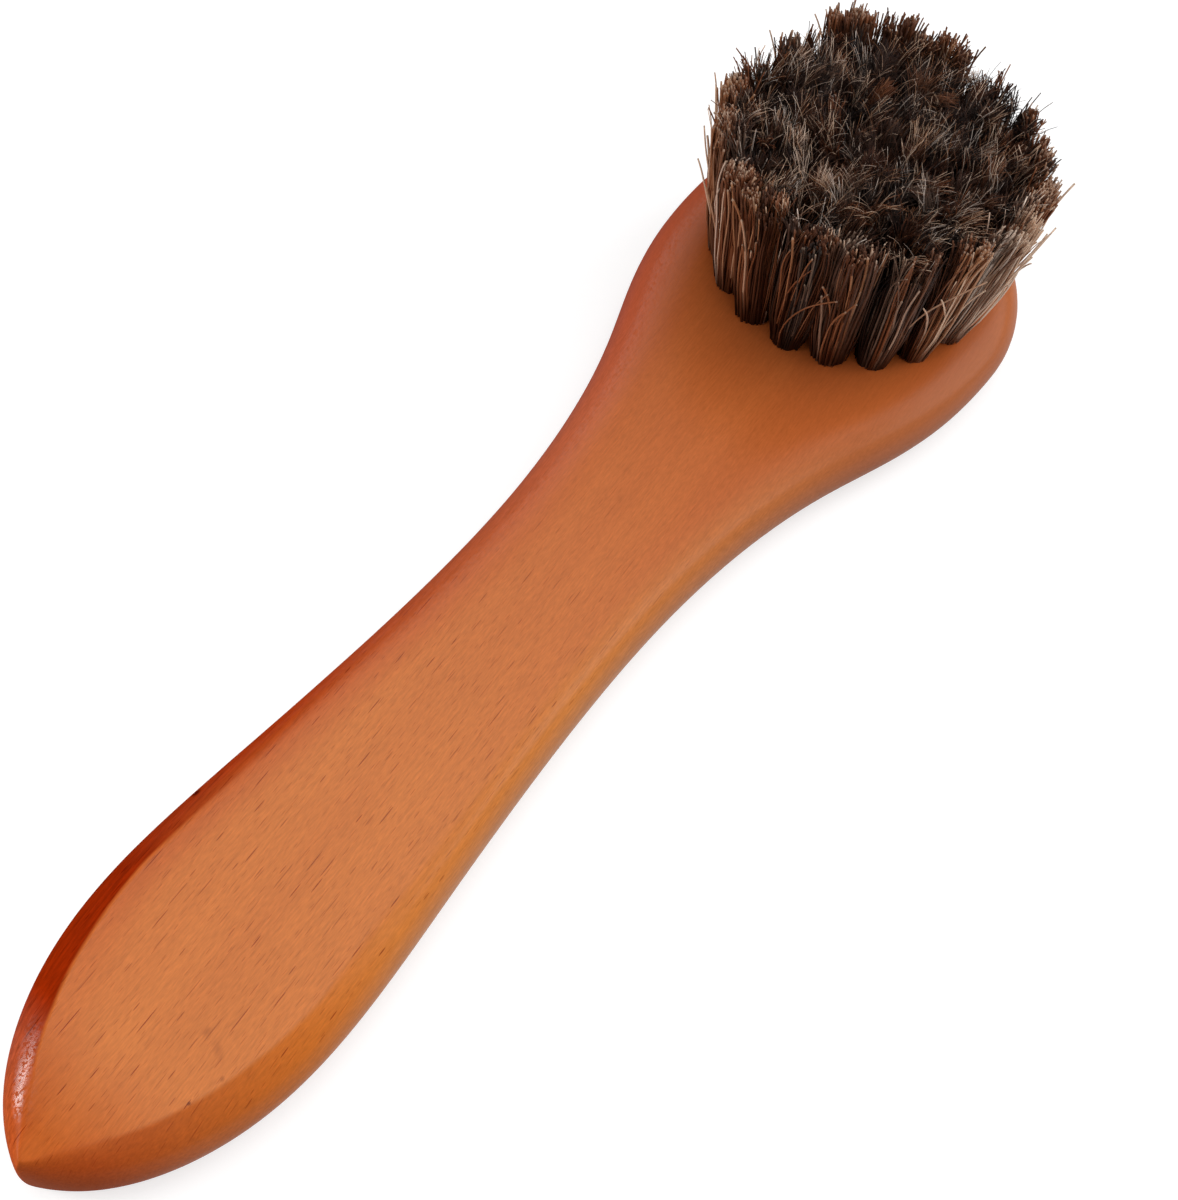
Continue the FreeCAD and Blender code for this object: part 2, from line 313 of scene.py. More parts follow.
# stained beech on object coordinates in mm: long soft bands, fine fibres and short dark flecks along the
# grain, stained edges by their share from the rim, and lacquer over it
def woodMaterial(look):
    material, tree = newMaterial("lacqueredBeech")
    place = addNode(tree, "TexCoord").outputs["Object"]
    spot = addNode(tree, "SeparateXYZ", {"Vector": place}).outputs
    along, across = spot["X"], spot["Y"]
    grainAngles = (0, 0, np.radians(-look["grainTurn"]))
    perMm = (1 / mm, 1 / mm, 1 / mm)
    turned = addNode(tree, "Mapping", {"Vector": place, "Rotation": grainAngles, "Scale": perMm}).outputs[0]

    def stretched(alongSize, acrossSize):
        scale = (1 / alongSize, 1 / acrossSize, 1 / acrossSize)
        return addNode(tree, "Mapping", {"Vector": turned, "Scale": scale}).outputs[0]

    def grainNoise(alongSize, acrossSize, detail, distortion):
        sockets = {"Vector": stretched(alongSize, acrossSize), "Scale": 1.0, "Detail": detail,
                   "Distortion": distortion}
        return addNode(tree, "TexNoise", sockets).outputs["Fac"]

    # a fleck is a thin ellipse about one spot in each stretched cell, whose own chances say whether it is
    # there, how long it is and how dark
    def fleckMask(alongSize, acrossSize, shortest, longest, halfWide, share, strength):
        cell = stretched(alongSize, acrossSize)
        cells = addNode(tree, "TexVoronoi", {"Vector": cell, "Scale": 1.0}, voronoi_dimensions="2D").outputs
        chance = addNode(tree, "SeparateColor", {"Color": cells["Color"]}).outputs
        offset = vectorNode(tree, "SUBTRACT", cell, cells["Position"])[0]
        offset = addNode(tree, "SeparateXYZ", {"Vector": offset}).outputs
        longer = mathNode(tree, "POWER", chance["Green"], 2.0)
        halfLong = timesPlus(tree, longer, longest - shortest, shortest)
        lengthwise = mathNode(tree, "DIVIDE", times(tree, offset["X"], alongSize), halfLong)
        crosswise = times(tree, offset["Y"], acrossSize / halfWide)
        squares = [mathNode(tree, "POWER", distance, 2.0) for distance in (lengthwise, crosswise)]
        ellipse = ramp(tree, mathNode(tree, "ADD", *squares), *look["fleckEdge"])
        there = ramp(tree, chance["Red"], 1 - share, 1 - share + look["fleckOnset"])
        faintest = look["faintest"] * strength
        dark = timesPlus(tree, chance["Blue"], strength - faintest, faintest)
        return times(tree, times(tree, ellipse, there), dark)

    # one small ellipsoid at a fixed place
    def markMask(x, y, z, halfLong, halfWide, turn, strength):
        moved = vectorNode(tree, "SUBTRACT", place, (x * mm, y * mm, z * mm))[0]
        sockets = {"Vector": moved, "Angle": np.radians(-turn)}
        rolled = addNode(tree, "VectorRotate", sockets, rotation_type="Z_AXIS").outputs[0]
        scale = (1 / (halfLong * mm), 1 / (halfWide * mm), 1 / (look["markDeep"] * mm))
        shaped = vectorNode(tree, "MULTIPLY", rolled, scale)[0]
        reach = vectorNode(tree, "LENGTH", shaped)["Value"]
        return times(tree, ramp(tree, reach, *look["markEdge"]), strength)

    # colours or values by the way along the handle, from stops in mm from the tip
    way = ramp(tree, along, float(woodLow[0]), float(woodHigh[0]), smooth=False)

    def byPlace(stops):
        return colourStops(tree, way, [(station / (woodLong / mm), colour) for station, colour in stops])

    def levelByPlace(stops):
        grey = byPlace([(station, (level, level, level)) for station, level in stops])
        return addNode(tree, "SeparateColor", {"Color": grey}).outputs["Red"]

    # 0 to 1 between two places in mm along, counted from the handle's middle
    def between(start, end):
        return ramp(tree, along, start * mm, end * mm)

    bands, blotch = grainNoise(*look["bands"]), grainNoise(*look["blotch"])
    fibres, fine = grainNoise(*look["fibres"]), grainNoise(*look["fine"])
    share = addNode(tree, "Attribute", attribute_name="edgeShare").outputs["Fac"]
    crispness = addNode(tree, "Attribute", attribute_name="crispness").outputs["Fac"]
    left = ramp(tree, across, -look["sideBlend"] * mm, look["sideBlend"] * mm)

    # the face, then the stained edges over it
    bandTone, blotchTone = ramp(tree, bands, *look["bandLimits"]), ramp(tree, blotch, *look["blotchLimits"])
    tone = times(tree, mathNode(tree, "ADD", bandTone, blotchTone), 0.5)
    face = mixColours(tree, tone, look["face"], look["faceDeep"])
    face = multiplied(tree, face, byPlace(look["faceStain"]))
    nearLeft = times(tree, ramp(tree, share, *look["leftReach"]), levelByPlace(look["leftSpread"]))
    nearLeft = times(tree, nearLeft, left)
    face = mixColours(tree, nearLeft, face, multiplied(tree, face, look["leftSoft"]))
    rims = mixColours(tree, left, byPlace(look["rightStain"]), byPlace(look["leftStain"]))
    softStep, crispStep = ramp(tree, share, *look["softEnd"]), ramp(tree, share, *look["crispEnd"])
    crisp = ramp(tree, crispness, *look["crispLimits"])
    edge = timesPlus(tree, crisp, mathNode(tree, "SUBTRACT", crispStep, softStep), softStep)
    stained = mixColours(tree, edge, face, rims)
    # painted shade and a painted mauve reflection at the very rim, multiplied over the stain
    rimPaintedTone = mixColours(tree, ramp(tree, share, *look["rimReach"]), look["rimPaintedShadeAndReflection"], white)
    stained = multiplied(tree, stained, rimPaintedTone)

    # fibres about a level of 1, calmer on the head, with broad streaks on the left edge of the paddle
    fibreTone = timesPlus(tree, fibres, -look["fibreDepth"], 1 + look["fibreDepth"] / 2)
    fineTone = timesPlus(tree, fine, -look["fineDepth"], look["fineDepth"] / 2)
    streaks = mathNode(tree, "ADD", fibreTone, fineTone)
    calm = timesPlus(tree, between(*look["calmFrom"]), -look["headCalm"], 1.0)
    streaks = timesPlus(tree, mathNode(tree, "SUBTRACT", streaks, 1.0), calm, 1.0)
    broad = mathNode(tree, "SUBTRACT", grainNoise(*look["broad"]), 0.5)
    broad = times(tree, times(tree, broad, look["edgeStreaks"]), between(*look["streaksFrom"]))
    leftEdge = times(tree, left, edge)
    fibred = shaded(tree, stained, timesPlus(tree, leftEdge, broad, streaks))

    # flecks, fewer on the head and none at the rim, and the small marks
    flecks = mathNode(tree, "MAXIMUM", fleckMask(*look["longFlecks"]), fleckMask(*look["shortFlecks"]))
    paddleward = timesPlus(tree, between(*look["fleckFrom"]), 1 - look["headFlecks"], look["headFlecks"])
    flecks = times(tree, times(tree, flecks, ramp(tree, share, *look["fleckRim"])), paddleward)
    colour = mixColours(tree, flecks, fibred, multiplied(tree, fibred, look["fleckTint"]))
    for mark in look["marks"]:
        colour = mixColours(tree, markMask(*mark), colour, multiplied(tree, colour, look["markTint"]))

    # speckled lacquer on the left of the tip, fine pores elsewhere
    sockets = {"Vector": turned, "Scale": look["speckScale"], "Detail": look["speckDetail"]}
    specks = addNode(tree, "TexNoise", sockets).outputs["Fac"]
    pits = times(tree, specks, look["pitRelief"])
    height = mathNode(tree, "SUBTRACT", timesPlus(tree, streaks, -look["fibreRelief"], pits), flecks)
    sockets = {"Height": height, "Strength": look["relief"], "Distance": look["reliefDeep"] * mm}
    bump = addNode(tree, "Bump", sockets).outputs[0]
    roughness = timesPlus(tree, fibres, look["roughSpread"], look["roughness"] - look["roughSpread"] / 2)
    plainCoat = levelByPlace(look["coat"])
    specked = times(tree, ramp(tree, share, *look["speckInner"]), ramp(tree, specks, *look["speckLimits"]))
    leftCoat = times(tree, levelByPlace(look["leftCoat"]), specked)
    coat = timesPlus(tree, leftEdge, mathNode(tree, "SUBTRACT", leftCoat, plainCoat), plainCoat)
    shader = addNode(tree, "BsdfPrincipled", {
        "Base Color": colour, "Roughness": roughness, "Normal": bump,
        "IOR": look["ior"], "Specular IOR Level": look["specular"],
        "Coat Weight": coat, "Coat Roughness": look["coatRoughness"],
    })
    finishMaterial(tree, shader.outputs[0])
    return material


wood = handleMesh(handleShape)
newPiece("handle_wood", wood, woodMaterial(woodLook), "handle")
print("handle made with", len(wood.polygons), "faces")


# the hair, one piece for each tuft
hairShape = {
    "perTuft": 540, "rings": 13, "sides": 3,
    "spotJitter": 0.04,                     # share of the tuft's radius that hairs lie off an even spread
    "thick": 0.088, "thickSpread": 0.22, "thickLimits": (0.5, 1.7),     # mm radius, shares of it
    "rimThick": 0.65,                       # share thicker at the rim
    "taper": (0.70, 0.12), "taperEase": 5,  # share lost at the tip, inside the field and at its rim
    "rootDepth": 0.8,                       # mm of hair under the wood's face
    "mouth": 1.1, "fan": 1.19,              # width against the hole's and the solid's
    "fanEase": 0.40,                        # below 1 the tuft opens soon after the hole
    "clumps": 540, "clumpJitter": 0.4, "clumpDrop": 1.3,    # over the whole field, mm aside, mm down
    "clumpPull": 0.8, "rimPull": 0.35, "pullSpread": (0.7, 1.1),    # share drawn to a clump
    "pullFrom": 0.5, "pullTo": 1.05,        # shares of the length over which that happens
    "clumpBend": 0.70, "curl": 0.38,        # radians that tips turn aside, by clump and by hair
    "combed": (0.50, -0.10),                # radians that they all lean along and across
    "bendFrom": 0.78, "mostBend": 1.5,      # share of the length where that starts, radians
    "tilt": 0.6, "lean": 0.40, "bow": 0.50, "wave": 0.14,   # mm, of a tuft and of its hairs
    "leanEase": 1.6, "waveTurns": 1.6,      # lean grows by this power of the way, waves along a hair
    "rimBend": 0.8, "rimBow": 0.4,          # shares of bend and bow that hairs at the rim lack
    "freeShare": 0.10, "freeLean": 2.4, "freeThick": 0.55,  # share of fine hairs outside the clumps
    "litMost": 0.46, "litEase": 3,          # painted light: most paler hairs in a clump, above 1 few clumps have many
    "litRise": 0.9, "litTint": (0.33, 0.96),    # mm higher, tint added
    "freeLit": 0.05,                        # share of them from which fine hairs over a clump are paler too
    "topRise": 0.4, "shortBy": 0.5,         # mm up and down from the trimmed top
    # mm that the trim goes up and down, then turn in radians and start of its wave along and across
    "trimWave": 0.45, "trimAlong": (3.1, 0.6), "trimAcross": (2.3, -0.4),
    "rim": (0.82, 0.94), "rimShort": 0.7,   # share of the field's reach where hairs stand straight, mm down
    "rimDrop": 0.6,                         # share of a clump's drop there
    "trough": (0.64, 0.78), "troughDrop": 1.0,      # the same for the lower ring behind them
    "strays": 5, "strayBend": 2.6,          # hairs of an outer tuft that swing out, mm
    "strayRing": 0.8, "strayEdge": 0.6,     # shares of the field's and the tuft's radius past which they are
    "strayOut": (0.1, 0.6), "strayEase": 3, "strayShort": (0.5, 9.0),   # share outward, mm short of the top
    "tint": 0.215, "clumpTint": 0.13, "hairTint": 0.07,     # middle of the tints, and their spread
    "tintLimits": (0.01, 0.99),
    "dropPaintedShade": 0.085,                      # painted shade: darker by this for each mm that a hair ends lower
    "frontTint": 0.065,                     # paler by this on the handle's side of the field, darker behind
    "rimTint": 0.64, "rimBlend": 0.5,       # middle tint at the rim, share that hairs come to it
    "strayTint": 0.3,                       # tint added to strays
    # painted light and shade: sides of the field with paler or darker hair and by how much, on the outermost
    # hairs
    "sidePaintedLight": [((-0.30, -0.95), 0.44), ((-0.25, 0.97), 0.42), ((-1.0, 0.0), -0.22)],
    "paleRim": (0.86, 0.98),                # share of the field's reach over which that comes in
    # share of whitish hairs and their tints, then a spot in mm from the field's middle with a larger share
    "paleHairs": 0.02, "whiteTint": (0.75, 1),
    "paleSpot": (-15.0, 6.5), "paleReach": 7.0, "paleMore": 0.05,
    "warmth": 0.5, "clumpWarmth": 0.48, "hairWarmth": 0.1,  # middle of the warmths, and their spread
    "rimWarmth": 0.3, "litWarmth": 0.24,    # warmth added
    "insideFade": 0.5,                      # share that outer tufts count less as inside the field
    "seed": 11,
}
goldenAngle = np.pi * (3 - np.sqrt(5))


# even spots in a unit disc: each a golden angle further round, the radius by the root of its number
def sunflower(count):
    number = np.arange(count) + 0.5
    angle = number * goldenAngle
    return np.sqrt(number / count)[:, None] * np.stack([np.cos(angle), np.sin(angle)], 1)


# middles and radii of a tuft's lowest and highest discs, read from its solid, in mm
def tuftEnds(name, discDepth=0.05):
    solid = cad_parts[name].data
    flat = np.empty(len(solid.vertices) * 3, np.float32)
    solid.vertices.foreach_get("co", flat)
    points = flat.reshape(-1, 3) / mm
    ends = []
    for level in (points[:, 2].min(), points[:, 2].max()):
        disc = points[np.abs(points[:, 2] - level) < discDepth]
        low, high = disc.min(0), disc.max(0)
        ends.append(((low + high) / 2, (high[1] - low[1]) / 2))
    return ends


# a thin tube along each centre line: rings of corners on two directions square to the line
def tubeMesh(name, lines, radii, way, tints, marks, sides):
    count, rings, _ = lines.shape
    tangent = np.gradient(lines, axis=1)
    tangent /= np.linalg.norm(tangent, axis=2, keepdims=True)
    level = np.array([0.31, 0.95, 0.0])     # a level direction that no hair runs along
    first = np.cross(tangent, level)
    first /= np.linalg.norm(first, axis=2, keepdims=True)
    second = np.cross(tangent, first)
    angle = np.arange(sides) / sides * 2 * np.pi
    ring = first[:, :, None] * np.cos(angle)[:, None] + second[:, :, None] * np.sin(angle)[:, None]
    places = (lines[:, :, None] + ring * radii[:, :, None, None]).reshape(-1, 3) * mm

    corner = np.arange(count * rings * sides).reshape(count, rings, sides)
    following = np.roll(corner, -1, axis=2)
    quads = np.stack([corner[:, :-1], following[:, :-1], following[:, 1:], corner[:, 1:]], -1)
    quads = quads.reshape(-1, 4)
    caps = np.concatenate([corner[:, 0, ::-1], corner[:, -1]])
    loops = np.concatenate([quads.ravel(), caps.ravel()])
    sizes = np.concatenate([np.full(len(quads), 4), np.full(len(caps), sides)])
    starts = np.concatenate([[0], np.cumsum(sizes)[:-1]])

    mesh = bpy.data.meshes.new(name)
    mesh.vertices.add(len(places))
    mesh.vertices.foreach_set("co", places.astype(np.float32).ravel())
    mesh.loops.add(len(loops))
    mesh.loops.foreach_set("vertex_index", loops.astype(np.int32))
    mesh.polygons.add(len(sizes))
    mesh.polygons.foreach_set("loop_start", starts.astype(np.int32))
    along = np.broadcast_to(way[None, :, None], (count, rings, sides))
    tint = np.broadcast_to(tints[:, None, None], (count, rings, sides))
    chart = np.stack([tint, along], -1).reshape(-1, 2)[loops]
    mesh.uv_layers.new(name="hairChart").data.foreach_set("uv", chart.astype(np.float32).ravel())
    for mark, values in marks.items():
        layer = mesh.attributes.new(mark, "FLOAT", "POINT")
        layer.data.foreach_set("value", np.repeat(values, rings * sides).astype(np.float32))
    mesh.update(calc_edges=True)
    mesh.validate()
    return mesh


# 0 below one value, 1 above another, eased between them
def easeStep(value, low, high):
    share = np.clip((value - low) / (high - low), 0, 1)
    return share * share * (3 - 2 * share)


# tips gather in clumps spread over the field: where each is, how its tips turn, drop and look
def tipClumps(shape, middle, reach, random):
    count = shape["clumps"]
    return {
        "spot": middle + sunflower(count) * reach + random.normal(0, shape["clumpJitter"], (count, 2)),
        "bend": random.normal(shape["combed"], shape["clumpBend"], (count, 2)),
        "drop": -random.exponential(shape["clumpDrop"], count),
        "tint": random.normal(shape["tint"], shape["clumpTint"], count),
        "warmth": random.normal(shape["warmth"], shape["clumpWarmth"], count),
        "lit": shape["litMost"] * random.uniform(0, 1, count) ** shape["litEase"],
    }


# hairs of one tuft: even spots in the hole open out to the wider top, draw together towards the nearest
# clump of tips and turn aside there by an angle that grows along the hair, rim hairs stay straight and a few
# strays swing out
def hairMesh(name, shape, fieldMiddle, fieldReach, clumps, random):
    (foot, footRadius), (top, topRadius) = tuftEnds(name)
    count = shape["perTuft"]
    spot = sunflower(count) + random.normal(0, shape["spotJitter"], (count, 2))
    fan = topRadius * shape["fan"]
    away = top[:2] - fieldMiddle
    outness = np.linalg.norm(away) / fieldReach
    outward = away / max(np.linalg.norm(away), 1e-6)
    sideways = np.array([-outward[1], outward[0]])
    place = top[:2] + spot * fan + random.normal(0, shape["tilt"], 2)
    rimward = np.linalg.norm(place - fieldMiddle, axis=1) / (fieldReach + topRadius)
    rimShare = easeStep(rimward, *shape["rim"])
    rim = rimShare[:, None]
    trough = easeStep(rimward, *shape["trough"]) * (1 - rimShare)
    nearest = np.argmin(np.linalg.norm(place[:, None] - clumps["spot"][None], axis=2), axis=1)
    clump = {trait: values[nearest] for trait, values in clumps.items()}

    # which hairs are strays, free of the clumps or paler, and how far each goes aside
    stray = np.zeros(count, bool)
    if outness > shape["strayRing"]:
        outer = np.flatnonzero(spot @ outward > shape["strayEdge"])
        stray[random.choice(outer, shape["strays"], replace=False)] = True
    free = random.uniform(0, 1, (count, 1)) < shape["freeShare"]
    loose = np.where(free, shape["freeLean"], 1.0)
    # lit hairs are painted light: paler tints for strands that catch the light
    lit = random.uniform(0, 1, count) < clump["lit"]
    fineHair = lit | free[:, 0]
    paler = lit | free[:, 0] & (clump["lit"] > shape["freeLit"])
    pull = shape["clumpPull"] + (shape["rimPull"] - shape["clumpPull"]) * rim
    pull = (clump["spot"] - place) * pull * random.uniform(*shape["pullSpread"], (count, 1)) * ~free
    lean = random.normal(0, shape["lean"], (count, 2)) * loose
    bow = random.normal(0, shape["bow"], (count, 2)) * (1 - shape["rimBow"] * rim)
    bend = random.normal(0, shape["curl"], (count, 2)) * loose + clump["bend"] * ~free
    bend = bend * (1 - shape["rimBend"] * rim)
    swing = random.normal(0, 1, (count, 1)) * sideways
    swing = swing + random.uniform(*shape["strayOut"], (count, 1)) * outward
    swing = swing * shape["strayBend"] * stray[:, None]

    # how high each tip is
    field = away / fieldReach
    turnAlong, startAlong = shape["trimAlong"]
    turnAcross, startAcross = shape["trimAcross"]
    trim = shape["trimWave"] * np.sin(turnAlong * field[0] + startAlong)
    trim = trim * np.cos(turnAcross * field[1] + startAcross)
    short = np.abs(random.normal(0, shape["shortBy"], count))
    rimDrop = shape["rimDrop"] * clump["drop"] - np.abs(random.normal(0, shape["rimShort"], count))
    innerDrop = clump["drop"] - short - shape["troughDrop"] * trough + shape["litRise"] * fineHair
    drop = innerDrop + (rimDrop - innerDrop) * rimShare
    tipHeight = top[2] + shape["topRise"] + trim + drop
    tipHeight = np.where(stray, top[2] - random.uniform(*shape["strayShort"], count), tipHeight)
    rootHeight = woodTop / mm - shape["rootDepth"]

    # the turn of each ring, then steps added up along the hair, made longer until the tip is at its height
    t = np.sqrt(np.linspace(0, 1, shape["rings"]))[None, :, None]
    size = np.linalg.norm(bend, axis=1, keepdims=True)
    most = shape["mostBend"]
    turning = np.clip((t - shape["bendFrom"]) / (1 - shape["bendFrom"]), 0, 1)
    turn = most * np.tanh(size / most)[:, :, None] * turning
    between = (turn[:, 1:] + turn[:, :-1]) / 2
    step = np.diff(t, axis=1)
    begin = np.zeros((count, 1, 1))
    aside = np.concatenate([begin, np.cumsum(np.sin(between) * step, axis=1)], axis=1)
    rise = np.concatenate([begin, np.cumsum(np.cos(between) * step, axis=1)], axis=1)
    longer = (tipHeight - rootHeight)[:, None, None] / rise[:, -1:]

    # the centre lines: from hole to top, then all that goes aside added
    mouth = footRadius * shape["mouth"]
    wide = mouth + (fan - mouth) * t ** shape["fanEase"]
    flat = foot[:2] + (top - foot)[:2] * t + spot[:, None] * wide + lean[:, None] * t ** shape["leanEase"]
    flat = flat + (place - top[:2] - spot * fan)[:, None] * t
    flat = flat + pull[:, None] * easeStep(t, shape["pullFrom"], shape["pullTo"])
    flat = flat + bow[:, None] * np.sin(np.pi * t)
    flat = flat + swing[:, None] * t ** shape["strayEase"]
    flat = flat + aside * longer * (bend / size)[:, None]
    phase = random.uniform(0, 2 * np.pi, (count, 1, 2))
    flat = flat + shape["wave"] * np.sin(phase + shape["waveTurns"] * 2 * np.pi * t) * t
    lines = np.concatenate([flat, rootHeight + rise * longer], axis=2)

    # thick at the rim, fine where paler or free, and thinner towards the tip
    thick = shape["thick"] * np.clip(random.normal(1, shape["thickSpread"], count), *shape["thickLimits"])
    innerTaper, rimTaper = shape["taper"]
    taper = innerTaper + (rimTaper - innerTaper) * rim
    fine = fineHair * (1 - rimShare)
    thick = thick * (1 + (shape["freeThick"] - 1) * fine) * (1 + shape["rimThick"] * rimShare)
    radii = thick[:, None] * (1 - taper * t[:, :, 0] ** shape["taperEase"])

    # tint and warmth of each hair
    # painted light on the outermost hairs of the lit sides, painted shade on the side towards the handle
    paintedSideLight = sum(max(0.0, outward @ side) ** 2 * much for side, much in shape["sidePaintedLight"]) * outness
    outermost = easeStep(rimward, *shape["paleRim"])
    # painted shade: hairs that end lower get a darker tint
    tints = clump["tint"] + random.normal(0, shape["hairTint"], count) + shape["dropPaintedShade"] * (1 + drop)
    tints = tints + random.uniform(*shape["litTint"], count) * paler - shape["frontTint"] * field[0]
    tints = tints + rimShare * shape["rimBlend"] * (shape["rimTint"] - tints)
    tints = tints + outermost * paintedSideLight + shape["strayTint"] * stray
    whitish = np.linalg.norm(place - fieldMiddle - np.array(shape["paleSpot"]), axis=1) / shape["paleReach"]
    whitish = shape["paleHairs"] + shape["paleMore"] * np.exp(-whitish ** 2)
    isWhite = random.uniform(0, 1, count) < whitish
    tints = np.where(isWhite, random.uniform(*shape["whiteTint"], count), tints)
    tints = np.clip(tints, *shape["tintLimits"])
    warmths = clump["warmth"] + random.normal(0, shape["hairWarmth"], count)
    warmths = warmths + shape["rimWarmth"] * rimShare + shape["litWarmth"] * lit
    inside = (1 - rimShare) * (1 - shape["insideFade"] * outness ** 2)
    marks = {"warmth": np.clip(warmths, 0, 1), "inside": inside}
    return tubeMesh(name + "_hair", lines, radii, t[0, :, 0], tints, marks, shape["sides"])


hairLook = {
    # colour by the tint of a hair, from the darkest to the palest, for cool and for warm hair
    "cool": [(0.0, (0.008, 0.0065, 0.0068)), (0.3, (0.036, 0.023, 0.0185)), (0.6, (0.125, 0.075, 0.052)),
             (0.8, (0.31, 0.21, 0.155)), (1.0, (0.82, 0.70, 0.62))],
    "warm": [(0.0, (0.012, 0.005, 0.003)), (0.3, (0.066, 0.021, 0.009)), (0.6, (0.225, 0.075, 0.030)),
             (0.8, (0.42, 0.19, 0.09)), (1.0, (0.80, 0.56, 0.40))],
    "footPaintedShade": 0.38, "footReach": (0.03, 0.42),   # painted shade: how dark the hair is at its foot, and up to where
    "deepPaintedShade": 0.22, "deepReach": (0.82, 0.98),   # painted shade, the same inside the field, below the tips
    # cut ends of the rim's hairs: colour, share of it, and by length, tint and how far inside the field
    "cutEnd": (0.42, 0.30, 0.22), "cutShare": 0.6,
    "cutFrom": (0.985, 0.995), "cutTints": (0.42, 0.65), "cutInside": (0.4, 0.0),
    "roughness": 0.5, "specular": 0.15, "ior": 1.45,
}


# horsehair on its own chart: across it the tint of each hair, up it the way from root to tip
def hairMaterial(look):
    material, tree = newMaterial("horsehair")
    chart = addNode(tree, "UVMap", uv_map="hairChart").outputs["UV"]
    split = addNode(tree, "SeparateXYZ", {"Vector": chart}).outputs
    tint, along = split["X"], split["Y"]
    warmth = addNode(tree, "Attribute", attribute_name="warmth").outputs["Fac"]
    inside = addNode(tree, "Attribute", attribute_name="inside").outputs["Fac"]
    cool, warm = colourStops(tree, tint, look["cool"]), colourStops(tree, tint, look["warm"])
    colour = mixColours(tree, warmth, cool, warm)
    # painted shade at the foot of every hair
    paintedFootLight = ramp(tree, along, *look["footReach"])
    paintedFootLight = timesPlus(tree, paintedFootLight, 1 - look["footPaintedShade"], look["footPaintedShade"])
    # painted shade on the hairs inside the field, below their tips
    deep = times(tree, inside, ramp(tree, along, *reversed(look["deepReach"])))
    paintedDeepLight = timesPlus(tree, deep, look["deepPaintedShade"] - 1, 1.0)
    colour = shaded(tree, colour, times(tree, paintedFootLight, paintedDeepLight))
    cut = times(tree, ramp(tree, along, *look["cutFrom"]), ramp(tree, tint, *look["cutTints"]))
    cut = times(tree, cut, ramp(tree, inside, *look["cutInside"]))
    colour = mixColours(tree, times(tree, cut, look["cutShare"]), colour, look["cutEnd"])
    shader = addNode(tree, "BsdfPrincipled", {
        "Base Color": colour, "Roughness": look["roughness"],
        "IOR": look["ior"], "Specular IOR Level": look["specular"],
    })
    finishMaterial(tree, shader.outputs[0])
    return material


horsehair = hairMaterial(hairLook)
tuftTops = np.array([tuftEnds(name)[1][0][:2] for name in tuftNames])
fieldMiddle = tuftTops[tuftNames.index("tuft_centre")]
fieldReach = np.linalg.norm(tuftTops - fieldMiddle, axis=1).max()
tuftRadius = tuftEnds("tuft_centre")[1][1]
random = np.random.default_rng(hairShape["seed"])
clumps = tipClumps(hairShape, fieldMiddle, fieldReach + tuftRadius, random)
for name in tuftNames:
    mesh = hairMesh(name, hairShape, fieldMiddle, fieldReach, clumps, random)
    newPiece(name + "_hair", mesh, horsehair, name)
print("hair made:", len(tuftNames) * hairShape["perTuft"], "hairs")


# drawn wire for the anchors, which keep their own solids
wireLook = {
    "colour": (0.55, 0.54, 0.52), "lineShade": 0.7,
    "drawLines": 18.0, "drawLong": 0.2,     # lines in a mm across the wire and along it
    "roughness": 0.32, "roughSpread": 0.2,
}


def wireMaterial(look):
    material, tree = newMaterial("anchorWire")
    place = addNode(tree, "TexCoord").outputs["Object"]
    scale = (look["drawLines"] / mm, look["drawLong"] / mm, look["drawLines"] / mm)
    scaled = addNode(tree, "Mapping", {"Vector": place, "Scale": scale}).outputs[0]
    lines = addNode(tree, "TexNoise", {"Vector": scaled, "Scale": 1.0, "Detail": 2.0}).outputs["Fac"]
    roughness = timesPlus(tree, lines, look["roughSpread"], look["roughness"] - look["roughSpread"] / 2)
    dark = tuple(look["lineShade"] * level for level in look["colour"])
    colour = mixColours(tree, lines, look["colour"], dark)
    sockets = {"Base Color": colour, "Metallic": 1.0, "Roughness": roughness}
    finishMaterial(tree, addNode(tree, "BsdfPrincipled", sockets).outputs[0])
    return material


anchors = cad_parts["anchors"]
anchors.data.materials.clear()
anchors.data.materials.append(wireMaterial(wireLook))
print("anchors finished")


# floor, world and lamps
stageLook = {
    "floorSize": 3.0, "floorDrop": 0.0002, "floorColour": (0.50, 0.50, 0.50),   # metres
    "floorGlow": 0.62, "whiteReach": (0.15, 0.6),   # glow near the brush, metres over which it turns white
    # brightness of the studio by the height of the direction
    "studio": [(0.0, 0.55), (0.3, 0.50), (0.6, 0.60), (0.85, 0.95), (1.0, 1.0)],
    "dimWall": (-0.10, 0.97, 0.22), "dimSpread": (0.45, 0.9), "dimShare": 0.85,     # the dim left wall
    "frontSpread": (0.2, -0.8), "frontDim": 0.35,   # dimmer towards the tip
    # a bright panel that only gloss shows: its direction, the spread of it and how bright
    "panel": (0.43, 0.65, 0.62), "panelSpread": (0.92, 0.985), "panelLevel": 3.3,
}


